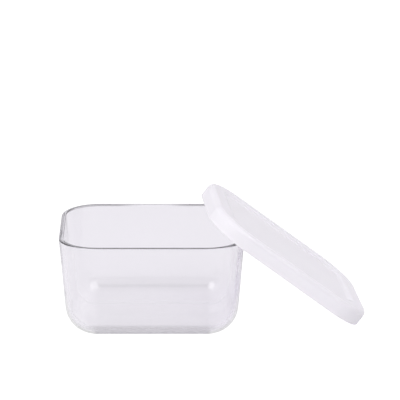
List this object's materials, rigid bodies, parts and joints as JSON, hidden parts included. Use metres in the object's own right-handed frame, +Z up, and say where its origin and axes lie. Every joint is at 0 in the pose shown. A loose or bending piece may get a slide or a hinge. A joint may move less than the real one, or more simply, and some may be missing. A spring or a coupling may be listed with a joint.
{
  "type": "dough proofing container",
  "caption": "Rectangular pressed glass dish with round corners and leaning walls, with its soft press-on lid taken off and leaning against the rim.",
  "frame": {"origin": "middle of the dish's flat foot, on the surface that the dish stands on", "axes": "+Z up out of the dish, +X along the dish's long side towards the leaning lid, +Y away from the front side"},
  "size_m": [0.2651, 0.15, 0.1101],
  "materials": {
    "glass": "clear, polished",
    "lid_plastic": "soft translucent white, satin"
  },
  "bodies": {
    "dish": {"glass_dish": "glass"},
    "lid": {"lid": "lid_plastic"}
  },
  "joints": [
    {"name": "lid_lift", "type": "slide", "parent": "dish", "child": "lid", "axis": [0, 0, 1], "range_m": [0, 0.12]}
  ]
}
